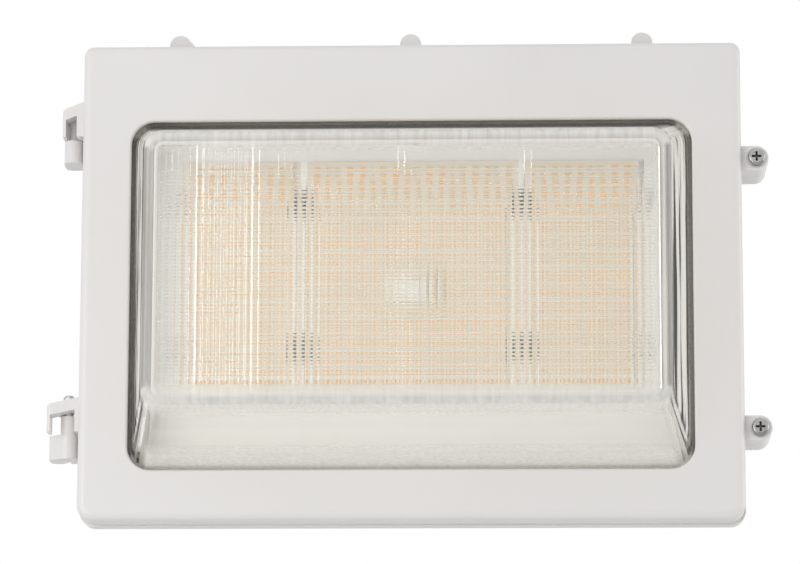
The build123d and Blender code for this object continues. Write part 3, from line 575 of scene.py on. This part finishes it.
def inner_skin(flute_count):
    """Inside of the glass, with its prisms and flutes; also how far each point lies in a groove."""
    prism_count = round((GLASS_FACE["high"] - GLASS_FACE["low"] - 2 * GLASS_WALL) / PRISM_PITCH)
    shell = Shell(flute_count * INNER_FLUTE_STEPS, prism_count * PRISM_STEPS, INNER_ARC)
    column = np.arange(shell.columns + 1) - shell.arc
    across_flute = 2.0 * (column % INNER_FLUTE_STEPS) / INNER_FLUTE_STEPS - 1.0
    fluted = (column >= 0) & (column <= shell.straight)
    troughs = np.where(fluted, -INNER_FLUTE_HEIGHT * (1.0 - across_flute ** 2), 0.0)
    row = np.arange(shell.rows + 1)
    first_row = round(PLAIN_BOTTOM / PRISM_PITCH) * PRISM_STEPS
    last_row = shell.rows - round(PLAIN_TOP / PRISM_PITCH) * PRISM_STEPS
    prismatic = (row >= first_row) & (row <= last_row)
    across_prism = 2.0 * (row % PRISM_STEPS) / PRISM_STEPS - 1.0
    prisms = np.where(prismatic, -PRISM_HEIGHT * (1.0 - across_prism ** 2), 0.0)
    descent = np.clip((UPPER_ROWS_END - row / shell.rows) / UPPER_ROWS_FADE, 0.0, 1.0)
    relief = troughs[:, None] * blend(UPPER_FLUTE_SHARE, 1.0, descent)[None, :] + prisms[None, :]

    face_station = FRONT - GLASS_WALL
    rings = [
        (face_station - INNER_FILLET * (1.0 - math.sin(angle)), INNER_FILLET * (1.0 - math.cos(angle)), GLASS_WALL)
        for angle in np.linspace(math.pi / 2, 0.0, FILLET_RINGS)
    ]
    below = face_station - INNER_FILLET - BELOW_FILLET
    rings += [(station, 0.0, GLASS_WALL) for station in np.linspace(below, FLANGE_BACK, WALL_RINGS)]
    points, faces, loop = shell.skin(rings, relief)
    grooves = np.zeros(len(points))
    groove_rows = (prismatic & (row % PRISM_STEPS == 0)).astype(float)
    grooves[:relief.size] = np.tile(groove_rows, shell.columns + 1)
    return points, faces, loop, grooves


def fade(distance, reach, width):
    """1 well before the reach, 0 well past it."""
    return np.clip((reach - distance) / width + 0.5, 0.0, 1.0)


def shade_glass(data, points, outer_points, grooves):
    """Point attributes: haze on the rounded front edge, painted shade and dark reflection beside the seal, painted
    reflection streaks in the side walls.
    """
    x, station, z = points.T
    outside = np.arange(len(points)) < outer_points
    depth = FRONT - station
    from_root = station - ROOT
    t = from_root / (FRONT - ROOT)
    top = blend(GLASS_ROOT["high"], GLASS_FACE["high"], t)
    side = blend(GLASS_ROOT["half"], GLASS_FACE["half"], t)
    low = blend(GLASS_ROOT["low"], GLASS_FACE["low"], t)
    on_top = outside & (z > top - WALL_MARGIN) & (depth > EDGE_RADIUS)
    on_side = outside & (np.abs(x) > side - WALL_MARGIN)
    on_bottom = outside & (z < low + WALL_MARGIN)

    beyond_flat = EDGE_RADIUS + np.maximum.reduce([
        np.abs(x) - GLASS_FACE["half"], z - GLASS_FACE["high"], GLASS_FACE["low"] - z,
    ])
    border = np.clip((beyond_flat + GLASS_WALL + BORDER_REACH) / BORDER_FADE, 0.0, 1.0)
    border = border * outside * (depth < EDGE_RADIUS + BORDER_DEPTH)
    level = np.full(len(points), EDGE_HAZE)
    level[z > GLASS_FACE["high"] - EDGE_BAND] = EDGE_HAZE_HIGH
    level[z < GLASS_FACE["low"] + EDGE_BAND] = EDGE_HAZE_LOW
    low_band = fade(from_root, RIM_REACH_LOW, RIM_FADE_LOW)
    haze = np.maximum(level * border, np.where(on_bottom, RIM_LOW * low_band, 0.0))

    # painted dark reflection on the top wall and beside the seal on the side walls (rim_shade); painted shade right
    # at the seal (seal_shade)
    near_root = fade(from_root, np.where(x < 0, RIM_REACH_LEFT, RIM_REACH), RIM_FADE)
    rim = np.maximum(np.where(on_top, RIM_TOP, 0.0), np.where(on_side, RIM_SIDE * near_root, 0.0))
    layers = {
        "edge_haze": haze,
        "rim_shade": rim,
        "seal_shade": np.where(outside & (from_root < 0.1), rim, 0.0),
        "groove": grooves,
        # painted reflection streaks farther along the side walls
        "streak": np.where(on_side & (depth > WALL_MARGIN), PAINTED_STREAKS * (1.0 - near_root), 0.0),
    }
    for name, values in layers.items():
        layer = data.attributes.new(name, "FLOAT", "POINT")
        layer.data.foreach_set("value", values.astype(np.float32))


def add_glass(material):
    """Pressed glass: vertical flutes outside, prisms and flutes inside, a flat flange at the root."""
    flute_count = round(2 * (GLASS_FACE["half"] - GLASS_FACE["radius"]) / FLUTE_PITCH)
    outer_points, faces, outer_loop = outer_skin(flute_count)
    inner_points, inner_faces, inner_loop, inner_grooves = inner_skin(flute_count)
    shift = len(outer_points)
    points = np.vstack((outer_points, inner_points))
    flat_faces = range(len(faces), len(faces) + len(inner_faces))
    faces += [tuple(i + shift for i in reversed(face)) for face in inner_faces]
    back = stitch([i + shift for i in inner_loop], outer_loop, points)
    faces += [tuple(reversed(face)) for face in back]
    piece = add_piece("glass_pressed", points, faces, material, flat_faces=flat_faces)
    grooves = np.concatenate((np.zeros(shift), inner_grooves))
    shade_glass(piece.data, points, shift, grooves)
    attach(piece, "door")
    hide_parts("glass_refractor")


# ------------------------------------------------------------------ LED packages
PACKAGE_WIDTH = 3.5
PACKAGE_HEIGHT = 2.8
PACKAGE_THICKNESS = 0.8
PACKAGE_BEVEL = 0.12
PHOSPHOR_INSET = 0.2
PHOSPHOR_SLOPE = 0.15
PHOSPHOR_DEPTH = 0.2


def add_leds(name, node, material_case, material_phosphor):
    """LED packages with a recessed phosphor, one on each solid of the CAD node."""
    corners = {
        (round(vertex.co.x / MM, 2), round(vertex.co.z / MM, 2)) for vertex in nodes[node].data.vertices
    }
    lower_left = [
        (x, z) for x, z in sorted(corners)
        if (round(x + PACKAGE_WIDTH, 2), z) in corners and (x, round(z + PACKAGE_HEIGHT, 2)) in corners
    ]
    top = BOARD_FRONT + PACKAGE_THICKNESS
    # inset and station of the four corners, from the board outwards and then into the phosphor
    rings = (
        (0.0, BOARD_FRONT), (0.0, top - PACKAGE_BEVEL), (PACKAGE_BEVEL, top), (PHOSPHOR_INSET, top),
        (PHOSPHOR_INSET + PHOSPHOR_SLOPE, top - PHOSPHOR_DEPTH),
    )
    vertices, faces, slots = [], [], []
    for x, z in lower_left:
        loops = []
        for inset, station in rings:
            loops.append(list(range(len(vertices), len(vertices) + 4)))
            left, right = x + inset, x + PACKAGE_WIDTH - inset
            low, high = z + inset, z + PACKAGE_HEIGHT - inset
            vertices += [(left, station, low), (right, station, low), (right, station, high), (left, station, high)]
        for back, front in zip(loops, loops[1:]):
            faces += [(back[k], back[(k + 1) % 4], front[(k + 1) % 4], front[k]) for k in range(4)]
        faces.append(tuple(loops[-1]))
        slots += [0] * 4 * (len(rings) - 1) + [1]
    piece = add_piece(name, vertices, faces, material_case, smooth=False)
    piece.data.materials.append(material_phosphor)
    piece.data.polygons.foreach_set("material_index", slots)
    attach(piece, "housing")
    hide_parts(node)


# ------------------------------------------------------------------ floor
FLOOR_REACH = 9000
FLOOR_LEVEL = -1400
FLOOR_GLOW = 0.37


def add_floor():
    """Plain pale studio floor far below the light; it glows to the camera alone, to be near white."""
    s = Shader("studio_floor")
    s.colour(s.mottle(s.noise(scale=1.6), (0.88, 0.88, 0.87), (0.91, 0.91, 0.9)))
    s.roughness(s.spread(s.noise(scale=9.0), 0.5, 0.65))
    glow = s.node("Emission")
    s.link(s.combine("MULTIPLY", s.node("LightPath").outputs["Is Camera Ray"], FLOOR_GLOW), glow.inputs["Strength"])
    both = s.node("AddShader")
    s.link(s.bsdf.outputs[0], both.inputs[0])
    s.link(glow.outputs[0], both.inputs[1])
    s.link(both.outputs[0], s.surface)
    near, far, low = FLOOR_REACH, -FLOOR_REACH, FLOOR_LEVEL
    floor = add_piece(
        "floor", [(far, near, low), (near, near, low), (near, far, low), (far, far, low)],
        [(0, 1, 2, 3)], s.material, smooth=False,
    )


# ------------------------------------------------------------------ assembly
def paint(node, material):
    """Gives a carried-over CAD piece its material."""
    materials = nodes[node].data.materials
    if not materials:
        materials.append(material)
    for index in range(len(materials)):
        materials[index] = material


add_camera()
add_world()
add_lamps()

coat_door = powder_coat("powder_coat_door", (0.82, 0.802, 0.788), (0.795, 0.777, 0.763))
coat_box = powder_coat("powder_coat_housing", (0.81, 0.793, 0.779), (0.785, 0.768, 0.754))
plate_paint = powder_coat("plate_paint", (0.96, 0.95, 0.905), (0.94, 0.93, 0.885))
clip_coat = powder_coat("clip_coat", (0.7, 0.7, 0.69), (0.66, 0.66, 0.65))
screw_white = powder_coat("screw_white", (0.82, 0.81, 0.78), (0.78, 0.77, 0.74))
zinc = metal("zinc_plated", (0.62, 0.63, 0.64), 0.25, 0.4)
stainless = metal("stainless", (0.55, 0.55, 0.54), 0.22, 0.38)
# these screws get painted shade in their cross recesses
screw_steel = metal("screw_steel", (0.42, 0.42, 0.41), 0.2, 0.34, painted_shade_reach=0.0025)
driver_metal = metal("driver_case", (0.66, 0.67, 0.68), 0.3, 0.45, grain=(1.0, 1.0, 8.0))
green_metal = metal("green_zinc", (0.12, 0.42, 0.2), 0.25, 0.4)
board_mask = plastic("solder_mask", (0.87, 0.79, 0.665), rough=0.38, variation=0.04, bump_scale=400.0)
led_case = plastic("led_case", (0.88, 0.8, 0.64))
phosphor = plastic("phosphor", (0.95, 0.47, 0.09), rough=0.5, variation=0.1)
cover_plastic = plastic("cover_plastic", (0.88, 0.855, 0.775), rough=0.35)
silicone = plastic("silicone", (0.24, 0.24, 0.235), rough=0.6)
black_plastic = plastic("black_plastic", (0.03, 0.03, 0.03), rough=0.45)
lead_plastic = plastic("lead_insulation", (0.04, 0.04, 0.04))
jacket = plastic("lead_jacket", (0.62, 0.62, 0.6), rough=0.45)

FINISHES = {
    "housing": coat_box,
    "conduit_plugs": coat_box,
    "hinge_pin_upper": coat_box,
    "door_frame": coat_door,
    "hinge_pin_lower": zinc,
    "clip_screws": zinc,
    "driver_screws": zinc,
    "terminal_screws": zinc,
    "upper_screw": screw_steel,
    "lower_screw": screw_steel,
    "upper_screw_washer": stainless,
    "lower_screw_washer": stainless,
    "led_plate": plate_paint,
    "led_board_left": board_mask,
    "led_board_centre": board_mask,
    "led_board_right": board_mask,
    "wire_cover": cover_plastic,
    "door_gasket": silicone,
    "glass_gasket": silicone,
    "plug_seals": silicone,
    "glass_clips": clip_coat,
    "board_screws": board_screw_metal(),
    "plate_screws": screw_white,
    "led_driver": driver_metal,
    "terminal_block": black_plastic,
    "supply_leads": lead_plastic,
    "led_lead": jacket,
    "ground_screw": green_metal,
}
for node_name, finish in FINISHES.items():
    paint(node_name, finish)
for side in ("left", "centre", "right"):
    add_leds(f"led_packages_{side}", f"leds_{side}", led_case, phosphor)
add_glass(glass_material())
add_floor()

scene.view_settings.view_transform = "Standard"
